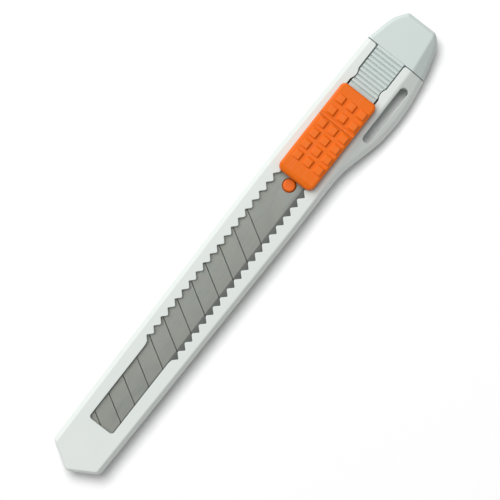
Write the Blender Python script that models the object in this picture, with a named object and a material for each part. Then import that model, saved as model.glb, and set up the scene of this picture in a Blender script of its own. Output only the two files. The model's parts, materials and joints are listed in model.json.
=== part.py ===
"""Slide-lock knife with a snap-off blade, lying on its flat back.

+X runs from the nose to the tail, +Y to the blade's spine side, +Z up to the slider.
The world origin is on the flat back, at mid-length, on the blade's centre line.
Sizes are metres. Stations, the x values below, are measured from the nose tip.
"""

import math

import bmesh
import bpy
from mathutils import Matrix, Vector

MM = 0.001

# Overall
LENGTH = 125.5 * MM
SLEEVE_HEIGHT = 7.5 * MM
SEAM_X = 115.6 * MM
FACE_GAP = 0.15 * MM
PAST = 2 * MM  # how far a cutter runs past what it cuts

# Sleeve: outlines as (station, y) in millimetres, nose to tail, running past the seam
NOSE_TIP_HALF_WIDTH = 0.4 * MM
SPINE_SIDE = ((3.7, 6.55), (50, 7.1), (78, 7.35), (97, 7.0), (115.6, 6.6), (119, 6.5))
EDGE_SIDE = ((3.7, -6.5), (24, -6.8), (50, -7.1), (73, -7.35), (85, -7.35), (89.5, -7.7),
             (94.3, -8.85), (99.5, -10.0), (104.8, -10.38), (110, -10.1),
             (115.6, -9.3), (119, -8.4))
LONG_EDGE_CHAMFER = 0.9 * MM
TOP_WALL_UNDERSIDE = 6.3 * MM
CAVITY_HALF_WIDTH = 4.75 * MM
CAVITY_FLOOR = 1.2 * MM
MOUTH_FLOOR = 5.5 * MM
WIDE = 15 * MM  # wider and taller than the knife, for cutters
WING_CREASE_START = (80 * MM, -6.7 * MM)
WING_CREASE_END = (LENGTH, -5.2 * MM)
WING_SLOPE = math.radians(30)

# Window slot and its rack
WINDOW_FRONT_X = 12.3 * MM
WINDOW_HALF_WIDTH = 3.3 * MM
WINDOW_CORNER = 0.7 * MM
RACK_FIRST_NOTCH_X = 34.3 * MM
RACK_PITCH = 2.5 * MM
RACK_LAST_NOTCH = 26
RACK_INNER = 3.5 * MM
RACK_OUTER = 4.4 * MM
SLOT_TAIL_HALF_WIDTH = 3.9 * MM
SLOT_END_RADIUS = 0.6 * MM
DETENT_X = 107.6 * MM
DETENT_LENGTH = 2.9 * MM
DETENT_HEIGHT = 0.4 * MM

# Strap slot through the wing
STRAP_SLOT_X = (97.0 * MM, 111.9 * MM)
STRAP_SLOT_Y = -7.2 * MM
STRAP_SLOT_WIDTH = 2.0 * MM
STRAP_SLOT_RADIUS = 0.98 * MM

# Blade: a 9 mm snap-off blade, cutting edge at -y
BLADE_HALF_WIDTH = 4.5 * MM
BLADE_THICKNESS = 0.4 * MM
BLADE_BOTTOM = 5.7 * MM
BLADE_TIP_X = 4.66 * MM
BLADE_TAIL_X = 84.66 * MM
BLADE_SEGMENT = 5.0 * MM
BLADE_SEGMENTS = 12
BLADE_SLANT = math.tan(math.radians(30))
BLADE_GRIND_Y = -2.7 * MM
BLADE_EDGE_THICKNESS = 0.04 * MM
BLADE_HOLE_X = 79.4 * MM
BLADE_HOLE_RADIUS = 1.65 * MM
SCORE_GAP = 0.02 * MM

# Carriage: 24 notches of travel end where the runner meets the nose block
TRAVEL_NOTCHES = 24
RUNNER_X = (76.5 * MM, 103.5 * MM)
RUNNER_HALF_WIDTH = 4.45 * MM
RUNNER_BOTTOM = 1.5 * MM
RUNNER_TOP = 5.55 * MM
RUNNER_WALL = 1.2 * MM
LAP = 0.8 * MM  # how deep joined shapes run into each other
SPRING_LIP = (0.5 * MM, 0.7 * MM)
LOCK_BAY_X = 95.3 * MM
LOCK_BAY_FLOOR = 2.7 * MM
BOSS_RADIUS = 1.45 * MM
BOSS_SHOULDER = 6.7 * MM
BOSS_TOP = 6.9 * MM
NECK_X = (85.1 * MM, 94.9 * MM)
NECK_HALF_WIDTH = 2.9 * MM
NECK_STUB_TOP = 9.0 * MM
NECK_SHOULDER = (1.0 * MM, 0.5 * MM)

# Slider pads
PAD_BOTTOM = 7.8 * MM
LOCK_PRESS = 0.6 * MM
LOCK_PAD_BOTTOM = SLEEVE_HEIGHT + LOCK_PRESS + FACE_GAP
PAD_TOP = 9.9 * MM
PAD_HALF_WIDTH = 4.7 * MM
PAD_CORNER = 1.2 * MM
PAD_SOFTENING = 0.7 * MM
BUTTON_X = (80.8 * MM, 95.8 * MM)
LOCK_PAD_X = (95.9 * MM, 104.7 * MM)
GRIP_ROWS_Y = (-3.0 * MM, 0.0, 3.0 * MM)
GRIP_WIDTH = 2.1 * MM
GRIP_LENGTH = 2.0 * MM
GRIP_HEIGHT = 0.6 * MM
GRIP_FALL = 0.35 * MM
BUTTON_GRIPS_X = (84.8 * MM, 87.75 * MM, 90.7 * MM, 93.55 * MM)
LOCK_GRIPS_X = (96.85 * MM, 99.95 * MM)

# Lock, at the notch it rests in
LOCK_X = RACK_FIRST_NOTCH_X + RACK_LAST_NOTCH * RACK_PITCH
LOCK_PLATE_Z = (6.0 * MM, 6.8 * MM)
LOCK_PLATE_LENGTH = 5.4 * MM
LOCK_PLATE_HALF_WIDTH = 3.0 * MM
LOCK_PLATE_TAPER = 0.4 * MM
STEM_CLEARANCE = 0.1 * MM
LOCK_TOOTH_TIP_Y = 4.15 * MM
LOCK_STEM = (2.6 * MM, 2.8 * MM)
LOCK_STEM_BOTTOM = 5.6 * MM
LOCK_NECK = (3.8 * MM, 4.4 * MM)
SPRING_THICKNESS = 0.25 * MM
SPRING_WIDTH = 4.0 * MM
SPRING_SPAN = 7.0 * MM

# Tail cap
CAP_OUTLINE = ((112, 7.25), (118.3, 5.85), (120.5, 5.35), (122.7, 4.6), (125.5, 2.7),
               (125.5, -4.75), (124.1, -6.4), (122.7, -7.1), (118.3, -8.45), (112, -9.95))
CAP_EDGE_CHAMFER = 0.72 * MM
PLUG_X = 106.5 * MM
PLUG_HALF_WIDTH = 4.45 * MM
PLUG_Z = (1.5 * MM, 6.05 * MM)
TONGUE_X = 105.0 * MM
TONGUE_HALF_WIDTH = 3.6 * MM
TONGUE_FRONT_HALF_WIDTH = 3.4 * MM
TONGUE_TOP = 7.3 * MM
TONGUE_LEAD = 0.4 * MM
NOTCH_CLEARANCE = 0.2 * MM
NOTCH_HALF_FLOOR = 0.6 * MM
RIDGES = 10
RIDGE_PITCH = 1.0 * MM
RIDGE_GROOVE = 0.3 * MM
SNAPPER_X = LENGTH - 4 * MM
SNAPPER_Y = (-5.8 * MM, 3.8 * MM)
SNAPPER_Z = (3.4 * MM, 4.3 * MM)

COLOURS = {
    "white_plastic": ((0.76, 0.79, 0.77), 0.42, 0.0),
    "cap_plastic": ((0.64, 0.70, 0.68), 0.45, 0.0),
    "orange_plastic": ((0.86, 0.17, 0.02), 0.42, 0.0),
    "carrier_plastic": ((0.80, 0.16, 0.02), 0.45, 0.0),
    "blade_steel": ((0.40, 0.41, 0.39), 0.32, 1.0),
    "spring_steel": ((0.55, 0.55, 0.54), 0.28, 1.0),
}


# --- Scene helpers ---------------------------------------------------------------------------

def clear_scene():
    for old in list(bpy.data.objects):
        bpy.data.objects.remove(old, do_unlink=True)


def make_collection(name):
    made = bpy.data.collections.new(name)
    bpy.context.scene.collection.children.link(made)
    return made


def make_material(name):
    colour, roughness, metallic = COLOURS[name]
    material = bpy.data.materials.new(name)
    material.use_nodes = True
    shader = material.node_tree.nodes["Principled BSDF"]
    shader.inputs["Base Color"].default_value = (*colour, 1.0)
    shader.inputs["Roughness"].default_value = roughness
    shader.inputs["Metallic"].default_value = metallic
    material.diffuse_color = (*colour, 1.0)
    return material


def add_object(name, mesh, collection):
    made = bpy.data.objects.new(name, mesh)
    collection.objects.link(made)
    return made


def add_empty(name, station, height, parent=None):
    """An empty at a station on the centre line; the one with no parent is the nose tip."""
    empty = bpy.data.objects.new(name, None)
    empty.empty_display_size = 5 * MM
    PARTS.objects.link(empty)
    empty.location = (station, 0, height)
    if parent:
        empty.parent = parent
        empty.location -= Vector(parent["from_nose"])
    empty["from_nose"] = (station, 0, height)
    if not parent:
        empty["from_nose"] = (0, 0, 0)
    return empty


def place(obj, parent):
    """Parents a piece whose mesh is in nose stations, so that it stays where it was modelled."""
    origin = Vector(parent["from_nose"])
    obj.data.transform(Matrix.Translation(-origin))
    obj.parent = parent
    return obj


def as_cutter(obj, parent):
    obj.hide_render = True
    obj.display_type = "WIRE"
    return place(obj, parent)


def finish(obj, material, parent, smooth=False):
    obj.data.materials.append(material)
    if smooth:
        obj.data.shade_smooth()
        obj.data.set_sharp_from_angle(angle=math.radians(30))
    return place(obj, parent)


# --- Shape helpers, all in nose stations ---------------------------------------------------------

def box(name, x, y, z, collection):
    """A box between pairs of x, y and z."""
    mesh = bpy.data.meshes.new(name)
    shape = bmesh.new()
    low, high = Vector((x[0], y[0], z[0])), Vector((x[1], y[1], z[1]))
    size = Matrix.Diagonal((*(high - low), 1))
    bmesh.ops.create_cube(shape, size=1, matrix=Matrix.Translation((low + high) / 2) @ size)
    shape.to_mesh(mesh)
    shape.free()
    return add_object(name, mesh, collection)


def cylinder(name, x, y, radius, z, collection, sides=32, top_radius=None):
    """An upright cylinder or cone between a pair of z."""
    mesh = bpy.data.meshes.new(name)
    shape = bmesh.new()
    bmesh.ops.create_cone(
        shape, cap_ends=True, segments=sides, radius1=radius,
        radius2=radius if top_radius is None else top_radius, depth=z[1] - z[0],
        matrix=Matrix.Translation((x, y, (z[0] + z[1]) / 2)),
    )
    shape.to_mesh(mesh)
    shape.free()
    return add_object(name, mesh, collection)


def plate(name, outline, z, collection, chamfer=0.0, smooth=(), steps=4):
    """A flat outline with thickness. Points whose numbers are in smooth are curved, the rest are corners.

    The curve is drawn in millimetres, because filling one merges points that are closer than 0.03 units.
    """
    curve = bpy.data.curves.new(name + "_outline", "CURVE")
    curve.dimensions = "2D"
    curve.fill_mode = "BOTH"
    curve.resolution_u = steps
    curve.extrude = ((z[1] - z[0]) / 2 - chamfer) / MM
    curve.bevel_depth = chamfer / MM
    curve.bevel_resolution = 0
    curve.offset = -chamfer / MM
    if smooth:
        spline = curve.splines.new("BEZIER")
        spline.bezier_points.add(len(outline) - 1)
        for number, (point, (x, y)) in enumerate(zip(spline.bezier_points, outline)):
            point.co = (x / MM, y / MM, 0)
            kind = "AUTO" if number in smooth else "VECTOR"
            point.handle_left_type = kind
            point.handle_right_type = kind
    else:
        spline = curve.splines.new("POLY")
        spline.points.add(len(outline) - 1)
        for point, (x, y) in zip(spline.points, outline):
            point.co = (x / MM, y / MM, 0, 1)
    spline.use_cyclic_u = True
    guide = add_object(name + "_guide", curve, collection)
    guide.scale = (MM, MM, MM)
    guide.location.z = (z[0] + z[1]) / 2
    bpy.context.view_layer.update()
    graph = bpy.context.evaluated_depsgraph_get()
    mesh = bpy.data.meshes.new_from_object(guide.evaluated_get(graph))
    mesh.transform(guide.matrix_world)
    bpy.data.objects.remove(guide, do_unlink=True)
    bpy.data.curves.remove(curve)
    weld(mesh)
    mesh.name = name
    mesh.materials.clear()
    return add_object(name, mesh, collection)


def weld(mesh):
    shape = bmesh.new()
    shape.from_mesh(mesh)
    bmesh.ops.remove_doubles(shape, verts=shape.verts, dist=0.002 * MM)
    bmesh.ops.recalc_face_normals(shape, faces=shape.faces)
    shape.to_mesh(mesh)
    shape.free()


def arc(x, y, radius, start, turn, steps):
    """Points round a centre, from a start angle through a turn, both in degrees."""
    angles = [math.radians(start + turn * step / steps) for step in range(steps + 1)]
    return [(x + radius * math.cos(angle), y + radius * math.sin(angle)) for angle in angles]


def rounded_rectangle(x, y, nose_radius, tail_radius, steps=4):
    """Outline points of a rectangle between pairs of x and y, with round corners at each end."""
    corners = ((1, 1, tail_radius), (0, 1, nose_radius), (0, 0, nose_radius), (1, 0, tail_radius))
    points = []
    for number, (at_x, at_y, radius) in enumerate(corners):
        centre_x = x[at_x] - radius if at_x else x[at_x] + radius
        centre_y = y[at_y] - radius if at_y else y[at_y] + radius
        turned = arc(centre_x, centre_y, radius, 90 * number, 90, steps)
        points += turned if radius else turned[:1]
    return points


def combine(target, other, operation):
    modifier = target.modifiers.new(other.name, "BOOLEAN")
    modifier.operation = operation
    modifier.solver = "EXACT"
    modifier.object = other


def combine_all(target, group, operation):
    modifier = target.modifiers.new(group.name, "BOOLEAN")
    modifier.operation = operation
    modifier.solver = "EXACT"
    modifier.operand_type = "COLLECTION"
    modifier.collection = group


def soften_top(obj, height, width, sharp_x, segments=2):
    """Bevels the outline of a plate's top face, except where it runs across at sharp_x."""
    shape = bmesh.new()
    shape.from_mesh(obj.data)
    bmesh.ops.dissolve_limit(shape, angle_limit=0.01, verts=shape.verts, edges=shape.edges)
    rim = [e for e in shape.edges
           if min(v.co.z for v in e.verts) > height - 0.01 * MM and e.calc_face_angle(0) > 0.5
           and max(abs(v.co.x - sharp_x) for v in e.verts) > 0.01 * MM]
    bmesh.ops.bevel(shape, geom=rim, offset=width, segments=segments, profile=0.5,
                    affect="EDGES", clamp_overlap=True, material=-1)
    shape.to_mesh(obj.data)
    shape.free()


def in_metres(points):
    return [(x * MM, y * MM) for x, y in points]


def spread(half, centre=0.0):
    """The pair of values that lie half each side of a centre."""
    return centre - half, centre + half


def mirrored(side):
    """A closed outline from one side, given as (station, distance from the centre line)."""
    return side + [(x, -y) for x, y in reversed(side)]


# --- Sleeve ---------------------------------------------------------------------------------------

def sleeve_outline():
    """The sleeve's plan outline, with the numbers of its curved points."""
    spine = in_metres(SPINE_SIDE)
    edge = in_metres(EDGE_SIDE)
    nose = [(0, -NOSE_TIP_HALF_WIDTH), (0, NOSE_TIP_HALF_WIDTH)]
    outline = nose + spine + edge[::-1]
    first_curved_spine = len(nose) + 1
    last_curved_spine = len(nose) + len(spine) - 1
    first_curved_edge = len(nose) + len(spine) + 1
    curved = {*range(first_curved_spine, last_curved_spine),
              *range(first_curved_edge, len(outline) - 1)}
    return outline, curved


def rack_side():
    """One wall of the window slot, as (station, distance from the centre line), nose to tail."""
    half_pitch = RACK_PITCH / 2
    front_x, corner_y = WINDOW_FRONT_X + WINDOW_CORNER, WINDOW_HALF_WIDTH - WINDOW_CORNER
    wall = arc(front_x, corner_y, WINDOW_CORNER, 180, -90, 3)
    wall.append((RACK_FIRST_NOTCH_X - RACK_PITCH, WINDOW_HALF_WIDTH))
    for notch in range(RACK_LAST_NOTCH + 1):
        station = RACK_FIRST_NOTCH_X + notch * RACK_PITCH
        wall += [(station - half_pitch, RACK_INNER), (station, RACK_OUTER)]
    last_peak = RACK_FIRST_NOTCH_X + RACK_LAST_NOTCH * RACK_PITCH + half_pitch
    wall += [(last_peak, RACK_INNER), (last_peak + SLOT_END_RADIUS, SLOT_TAIL_HALF_WIDTH)]
    for step in range(7):
        share = step / 6
        bump = DETENT_HEIGHT * math.sin(math.pi * share)
        wall.append((DETENT_X + DETENT_LENGTH * (share - 0.5), SLOT_TAIL_HALF_WIDTH - bump))
    flare_y = SLOT_TAIL_HALF_WIDTH + SLOT_END_RADIUS
    wall += arc(SEAM_X - SLOT_END_RADIUS, flare_y, SLOT_END_RADIUS, -90, 90, 3)
    return wall + [(SEAM_X + PAST, flare_y)]


def wing_slope_slab(name):
    """A cutter whose underside is the sloped surface beyond the wing's crease."""
    start, end = Vector(WING_CREASE_START), Vector(WING_CREASE_END)
    turn = math.atan2(end.y - start.y, end.x - start.x)
    slab = box(name, (-5 * MM, 70 * MM), (-WIDE, 0), (0, WIDE), CUTTERS)
    slope = Matrix.Rotation(turn, 4, "Z") @ Matrix.Rotation(WING_SLOPE, 4, "X")
    slab.data.transform(Matrix.Translation((start.x, start.y, SLEEVE_HEIGHT)) @ slope)
    return slab


def build_sleeve(parent):
    outline, curved = sleeve_outline()
    sleeve = plate("sleeve_body", outline, (0, SLEEVE_HEIGHT), PARTS, LONG_EDGE_CHAMFER, curved)
    nose_block_x = RUNNER_X[0] - TRAVEL_NOTCHES * RACK_PITCH - FACE_GAP
    inside = spread(CAVITY_HALF_WIDTH)
    cavity_z = (CAVITY_FLOOR, TOP_WALL_UNDERSIDE)
    mouth_z = (MOUTH_FLOOR, TOP_WALL_UNDERSIDE)
    strap_outline = rounded_rectangle(STRAP_SLOT_X, spread(STRAP_SLOT_WIDTH / 2, STRAP_SLOT_Y),
                                      STRAP_SLOT_RADIUS, STRAP_SLOT_RADIUS)
    cutters = (
        box("sleeve_end_trim", (SEAM_X, LENGTH), spread(WIDE), spread(WIDE), CUTTERS),
        box("sleeve_cavity", (nose_block_x, SEAM_X + PAST), inside, cavity_z, CUTTERS),
        box("blade_mouth", (-PAST, nose_block_x + PAST), inside, mouth_z, CUTTERS),
        plate("window_slot", mirrored(rack_side()),
              (TOP_WALL_UNDERSIDE - FACE_GAP, SLEEVE_HEIGHT + PAST), CUTTERS),
        plate("strap_slot", strap_outline, spread(WIDE), CUTTERS),
        wing_slope_slab("sleeve_wing_slope"),
    )
    for cutter in cutters:
        combine(sleeve, as_cutter(cutter, parent), "DIFFERENCE")
    return finish(sleeve, WHITE, parent)


# --- Tail cap --------------------------------------------------------------------------------------

def tongue_outline():
    """Plan of the ridged tongue: narrow land, detent notch, then full width."""
    notch = DETENT_LENGTH / 2 + FACE_GAP
    notch_floor = SLOT_TAIL_HALF_WIDTH - DETENT_HEIGHT - NOTCH_CLEARANCE
    return mirrored([
        (TONGUE_X, TONGUE_FRONT_HALF_WIDTH - TONGUE_LEAD),
        (TONGUE_X + TONGUE_LEAD, TONGUE_FRONT_HALF_WIDTH),
        (DETENT_X - notch, TONGUE_FRONT_HALF_WIDTH),
        (DETENT_X - NOTCH_HALF_FLOOR, notch_floor),
        (DETENT_X + NOTCH_HALF_FLOOR, notch_floor),
        (DETENT_X + notch, TONGUE_HALF_WIDTH),
        (SEAM_X + PAST, TONGUE_HALF_WIDTH),
    ])


def ridge_grooves(parent):
    """The grooves between the tongue's ridges, as a collection to cut away."""
    group = make_collection("ridge_grooves")
    group.hide_render = True
    for number in range(RIDGES):
        station = SEAM_X - (number + 0.5) * RIDGE_PITCH
        depth = (TONGUE_TOP - RIDGE_GROOVE, TONGUE_TOP + PAST)
        groove = box(f"ridge_groove_{number + 1:02d}", spread(RIDGE_GROOVE / 2, station),
                     spread(TONGUE_HALF_WIDTH + PAST), depth, group)
        as_cutter(groove, parent)
    return group


def build_cap(parent):
    cap = plate("tail_cap", in_metres(CAP_OUTLINE), (0, SLEEVE_HEIGHT), PARTS, CAP_EDGE_CHAMFER)
    trim = box("cap_front_trim", (SEAM_X - WIDE, SEAM_X + FACE_GAP), spread(WIDE), spread(WIDE), CUTTERS)
    for cutter in (trim, wing_slope_slab("cap_wing_slope")):
        combine(cap, as_cutter(cutter, parent), "DIFFERENCE")
    plug = box("cap_plug", (PLUG_X, SEAM_X + PAST), spread(PLUG_HALF_WIDTH), PLUG_Z, CUTTERS)
    tongue = plate("cap_tongue", tongue_outline(), (PLUG_Z[1] - LAP, TONGUE_TOP), CUTTERS)
    for joined in (plug, tongue):
        combine(cap, as_cutter(joined, parent), "UNION")
    combine_all(cap, ridge_grooves(parent), "DIFFERENCE")
    snapper = box("snapper_slot", (SNAPPER_X, LENGTH + PAST), SNAPPER_Y, SNAPPER_Z, CUTTERS)
    combine(cap, as_cutter(snapper, parent), "DIFFERENCE")
    return finish(cap, CAP_WHITE, parent)


# --- Blade -----------------------------------------------------------------------------------------

def blade_section():
    """The blade's cross-section as (y, z), flat-ground to the edge from both faces."""
    top = BLADE_BOTTOM + BLADE_THICKNESS
    middle = BLADE_BOTTOM + BLADE_THICKNESS / 2
    half_edge = BLADE_EDGE_THICKNESS / 2
    return ((BLADE_HALF_WIDTH, BLADE_BOTTOM), (BLADE_HALF_WIDTH, top), (BLADE_GRIND_Y, top),
            (-BLADE_HALF_WIDTH, middle + half_edge), (-BLADE_HALF_WIDTH, middle - half_edge),
            (BLADE_GRIND_Y, BLADE_BOTTOM))


def blade_length(name, start, end, collection, square_end=None):
    """The section swept from one slanted station to another; a square end stands at one station."""
    mesh = bpy.data.meshes.new(name)
    shape = bmesh.new()
    ring = [shape.verts.new((start + (y + BLADE_HALF_WIDTH) * BLADE_SLANT, y, z))
            for y, z in blade_section()]
    face = shape.faces.new(ring)
    swept = bmesh.ops.extrude_face_region(shape, geom=[face])
    far = [v for v in swept["geom"] if isinstance(v, bmesh.types.BMVert)]
    for vertex in far:
        if square_end is None:
            vertex.co.x += end - start
        else:
            vertex.co.x = square_end
    bmesh.ops.recalc_face_normals(shape, faces=shape.faces)
    shape.to_mesh(mesh)
    shape.free()
    return add_object(name, mesh, collection)


def build_blade(parent):
    last_score = BLADE_TIP_X + BLADE_SEGMENTS * BLADE_SEGMENT
    for number in range(BLADE_SEGMENTS):
        start = BLADE_TIP_X + number * BLADE_SEGMENT
        end = start + BLADE_SEGMENT - SCORE_GAP
        segment = blade_length(f"blade_segment_{number + 1:02d}", start, end, PARTS)
        finish(segment, STEEL, parent)
    tang = blade_length("blade_tang", last_score, BLADE_TAIL_X, PARTS, square_end=BLADE_TAIL_X)
    hole = cylinder("blade_hole", BLADE_HOLE_X, 0, BLADE_HOLE_RADIUS, spread(PAST, BLADE_BOTTOM), CUTTERS)
    combine(tang, as_cutter(hole, parent), "DIFFERENCE")
    finish(tang, STEEL, parent)


# --- Carriage --------------------------------------------------------------------------------------

def neck_stub(grow=0.0):
    """The (x, y) pairs of the carrier's stub, which the thumb button fits over."""
    along, across = NECK_SHOULDER
    return ((NECK_X[0] + along - grow, NECK_X[1] - along + grow),
            spread(NECK_HALF_WIDTH - across + grow))


def build_carrier(parent):
    width = spread(RUNNER_HALF_WIDTH)
    carrier = box("blade_carrier", (RUNNER_X[0], LOCK_BAY_X), width, (RUNNER_BOTTOM, RUNNER_TOP), PARTS)
    pocket = box("runner_pocket", (RUNNER_X[0] + RUNNER_WALL, LOCK_BAY_X - RUNNER_WALL),
                 spread(RUNNER_HALF_WIDTH - RUNNER_WALL), (0, RUNNER_TOP - RUNNER_WALL), CUTTERS)
    lip_length, lip_height = SPRING_LIP
    tail = RUNNER_X[1]
    neck_z = (RUNNER_TOP - LAP, PAD_BOTTOM - FACE_GAP)
    joined = (
        box("lock_bay_floor", (LOCK_BAY_X - LAP, tail), width, (RUNNER_BOTTOM, LOCK_BAY_FLOOR), CUTTERS),
        box("spring_lip", (tail - lip_length, tail), width,
            (RUNNER_BOTTOM, LOCK_BAY_FLOOR + lip_height), CUTTERS),
        box("carrier_neck", NECK_X, spread(NECK_HALF_WIDTH), neck_z, CUTTERS),
        box("carrier_stub", *neck_stub(), (RUNNER_TOP, NECK_STUB_TOP), CUTTERS),
        cylinder("carrier_boss", BLADE_HOLE_X, 0, BOSS_RADIUS, (RUNNER_TOP - LAP, BOSS_SHOULDER), CUTTERS),
        cylinder("boss_dome", BLADE_HOLE_X, 0, BOSS_RADIUS, (BOSS_SHOULDER - FACE_GAP, BOSS_TOP), CUTTERS,
                 top_radius=BOSS_RADIUS * 0.6),
    )
    combine(carrier, as_cutter(pocket, parent), "DIFFERENCE")
    for piece in joined:
        combine(carrier, as_cutter(piece, parent), "UNION")
    return finish(carrier, CARRIER_ORANGE, parent)


def pad(name, x, bottom, split_at_tail):
    """A slider pad, round in plan at its free end and square where the two pads meet."""
    radii = (PAD_CORNER, 0) if split_at_tail else (0, PAD_CORNER)
    outline = rounded_rectangle(x, spread(PAD_HALF_WIDTH), *radii, steps=3)
    made = plate(name, outline, (bottom, PAD_TOP), PARTS)
    soften_top(made, PAD_TOP, PAD_SOFTENING, x[1] if split_at_tail else x[0])
    return made


def grip_blocks(group_name, stations, steep_side, parent):
    """Wedge-shaped grip blocks in rows; steep_side is +1 where the tall face looks to the tail."""
    group = make_collection(group_name)
    group.hide_render = True
    for column, station in enumerate(stations):
        for row, y in enumerate(GRIP_ROWS_Y):
            block = box(f"{group_name}_{column + 1}_{row + 1}", (station, station + GRIP_LENGTH),
                        spread(GRIP_WIDTH / 2, y), (PAD_TOP - LAP / 2, PAD_TOP + GRIP_HEIGHT), group)
            middle = station + GRIP_LENGTH / 2
            for vertex in block.data.vertices:
                if vertex.co.z > PAD_TOP and (vertex.co.x - middle) * steep_side < 0:
                    vertex.co.z -= GRIP_FALL
            as_cutter(block, parent)
    return group


def build_button(parent):
    button = pad("thumb_button", BUTTON_X, PAD_BOTTOM, split_at_tail=True)
    socket_z = (PAD_BOTTOM - PAST, NECK_STUB_TOP + FACE_GAP)
    socket = box("button_socket", *neck_stub(FACE_GAP), socket_z, CUTTERS)
    combine(button, as_cutter(socket, parent), "DIFFERENCE")
    combine_all(button, grip_blocks("button_grip", BUTTON_GRIPS_X, 1, parent), "UNION")
    return finish(button, ORANGE, parent)


def lock_box(name, size, z, grow=0.0):
    """A box centred on the lock."""
    length, width = size
    return box(name, spread(length / 2 + grow, LOCK_X), spread(width / 2 + grow), z, CUTTERS)


def build_lock_pad(parent):
    lock_pad = pad("lock_pad", LOCK_PAD_X, LOCK_PAD_BOTTOM, split_at_tail=False)
    combine_all(lock_pad, grip_blocks("lock_grip", LOCK_GRIPS_X, -1, parent), "UNION")
    plate_top = LOCK_PLATE_Z[1]
    neck = lock_box("lock_neck", LOCK_NECK, (plate_top + FACE_GAP / 2, LOCK_PAD_BOTTOM + LAP))
    stem = lock_box("lock_stem", LOCK_STEM, (LOCK_STEM_BOTTOM, plate_top + LAP))
    for piece in (neck, stem):
        combine(lock_pad, as_cutter(piece, parent), "UNION")
    return finish(lock_pad, ORANGE, parent)


def build_lock_plate(parent):
    """A steel plate with one V tooth each side, shaped to the rack's notches."""
    half_length = LOCK_PLATE_LENGTH / 2
    slope = (RACK_PITCH / 2) / (RACK_OUTER - RACK_INNER)
    tooth = (LOCK_TOOTH_TIP_Y - LOCK_PLATE_HALF_WIDTH) * slope
    end_half_width = LOCK_PLATE_HALF_WIDTH - LOCK_PLATE_TAPER
    outline = mirrored([
        (LOCK_X - half_length, end_half_width),
        (LOCK_X - tooth, LOCK_PLATE_HALF_WIDTH),
        (LOCK_X, LOCK_TOOTH_TIP_Y),
        (LOCK_X + tooth, LOCK_PLATE_HALF_WIDTH),
        (LOCK_X + half_length, end_half_width),
    ])
    lock_plate = plate("lock_plate", outline, LOCK_PLATE_Z, PARTS)
    hole = lock_box("stem_hole", LOCK_STEM, spread(PAST, LOCK_PLATE_Z[0]), STEM_CLEARANCE)
    combine(lock_plate, as_cutter(hole, parent), "DIFFERENCE")
    return finish(lock_plate, SPRING_STEEL, parent)


def build_lock_spring(parent):
    """A bowed leaf: both ends on the runner's floor, the crown under the lock stem."""
    crown = LOCK_STEM_BOTTOM - FACE_GAP - SPRING_THICKNESS
    foot = LOCK_BAY_FLOOR + FACE_GAP
    steps = 16
    mesh = bpy.data.meshes.new("lock_spring")
    shape = bmesh.new()
    strip = []
    for step in range(steps + 1):
        share = step / steps
        x = LOCK_X + SPRING_SPAN * (share - 0.5)
        z = foot + (crown - foot) * math.sin(math.pi * share) ** 2
        strip.append(shape.verts.new((x, -SPRING_WIDTH / 2, z)))
    edges = [shape.edges.new(pair) for pair in zip(strip, strip[1:])]
    swept = bmesh.ops.extrude_edge_only(shape, edges=edges)
    moved = [v for v in swept["geom"] if isinstance(v, bmesh.types.BMVert)]
    bmesh.ops.translate(shape, verts=moved, vec=(0, SPRING_WIDTH, 0))
    lifted = bmesh.ops.extrude_face_region(shape, geom=list(shape.faces))
    raised = [v for v in lifted["geom"] if isinstance(v, bmesh.types.BMVert)]
    bmesh.ops.translate(shape, verts=raised, vec=(0, 0, SPRING_THICKNESS))
    bmesh.ops.recalc_face_normals(shape, faces=shape.faces)
    shape.to_mesh(mesh)
    shape.free()
    return finish(add_object("lock_spring", mesh, PARTS), SPRING_STEEL, parent, smooth=True)


clear_scene()
PARTS = make_collection("utility_knife")
CUTTERS = make_collection("cutters")
CUTTERS.hide_render = True

WHITE = make_material("white_plastic")
CAP_WHITE = make_material("cap_plastic")
ORANGE = make_material("orange_plastic")
CARRIER_ORANGE = make_material("carrier_plastic")
STEEL = make_material("blade_steel")
SPRING_STEEL = make_material("spring_steel")

nose_tip = add_empty("nose_tip", -LENGTH / 2, 0)
carriage = add_empty("carriage_slide", BLADE_HOLE_X, BLADE_BOTTOM, nose_tip)
lock = add_empty("lock_press", LOCK_X, LOCK_STEM_BOTTOM, nose_tip)
cap_axis = add_empty("cap_pull", SEAM_X, SLEEVE_HEIGHT / 2, nose_tip)

build_sleeve(nose_tip)
build_cap(cap_axis)
build_carrier(carriage)
build_button(carriage)
build_blade(carriage)
build_lock_pad(lock)
build_lock_plate(lock)
build_lock_spring(carriage)
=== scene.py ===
"""Slide-lock knife with a snap-off blade: the finished looks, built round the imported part.

Shapes are drawn in millimetres from the nose tip: x runs to the tail, y to the blade's spine
side, z up from the flat back. Each finished piece is then put in the frame's metres.
"""

import json
import math

import bmesh
import bpy
from mathutils import Matrix, Vector
from mathutils.geometry import interpolate_bezier


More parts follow.
